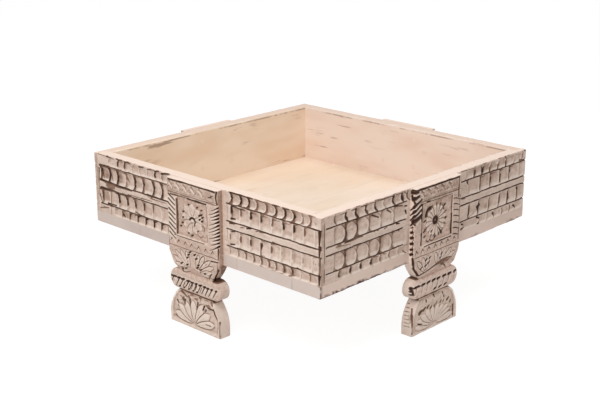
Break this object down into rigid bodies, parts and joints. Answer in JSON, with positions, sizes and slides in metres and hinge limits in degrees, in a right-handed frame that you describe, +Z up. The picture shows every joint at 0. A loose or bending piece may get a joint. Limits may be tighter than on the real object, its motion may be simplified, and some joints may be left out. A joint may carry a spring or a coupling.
{
  "type": "carved chakki table",
  "caption": "Low square tray table with carved, limewashed side boards and a carved plank leg in the middle of each side.",
  "frame": {"origin": "middle of the table on the floor, midway between the four feet", "axes": "+Z up, +Y to the back, +X to the right; the corner between the front (-Y) and right (+X) sides is the one nearest the camera"},
  "size_m": [0.626, 0.626, 0.2802],
  "materials": {
    "carved_wood": "matt limewash over brown wood, dark wax left in the carving",
    "floor_wood": "matt cream wash with faint brown marks",
    "leg_wood": "matt limewash over brown wood, dark wax left in the carving",
    "plug_wood": "matt cream wash",
    "steel": "plain wire steel"
  },
  "bodies": {
    "root": {"front_board": "carved_wood", "right_board": "carved_wood", "back_board": "carved_wood", "left_board": "carved_wood", "floor_plank_1": "floor_wood", "floor_plank_2": "floor_wood", "floor_plank_3": "floor_wood", "floor_plank_4": "floor_wood", "floor_filler": "floor_wood", "front_leg": "leg_wood", "right_leg": "leg_wood", "back_leg": "leg_wood", "left_leg": "leg_wood", "leg_screws": "steel", "screw_plugs": "plug_wood", "corner_brads": "steel", "floor_nails": "steel"}
  },
  "joints": []
}
